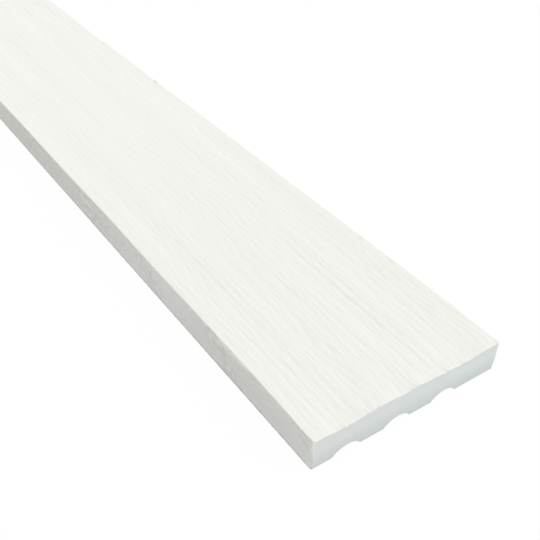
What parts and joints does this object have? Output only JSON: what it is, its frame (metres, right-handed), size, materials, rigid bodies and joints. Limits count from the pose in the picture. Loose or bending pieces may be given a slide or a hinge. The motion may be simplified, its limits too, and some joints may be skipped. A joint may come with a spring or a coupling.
{
  "type": "fibre cement trim board",
  "caption": "Long flat trim board with an embossed wood grain face, eased long edges, square sawn ends and shallow round relief grooves along its back.",
  "frame": {"origin": "middle of the board's footprint, in the plane of the back", "axes": "+X along the length, +Y across the width towards the wider back margin, +Z out of the grained face"},
  "size_m": [3.6576, 0.1396, 0.0222],
  "materials": {
    "primed_fibre_cement": "matt off-white primer over an embossed grain face, with cool grey sawn ends"
  },
  "bodies": {
    "root": {"trim_board": "primed_fibre_cement"}
  },
  "joints": []
}
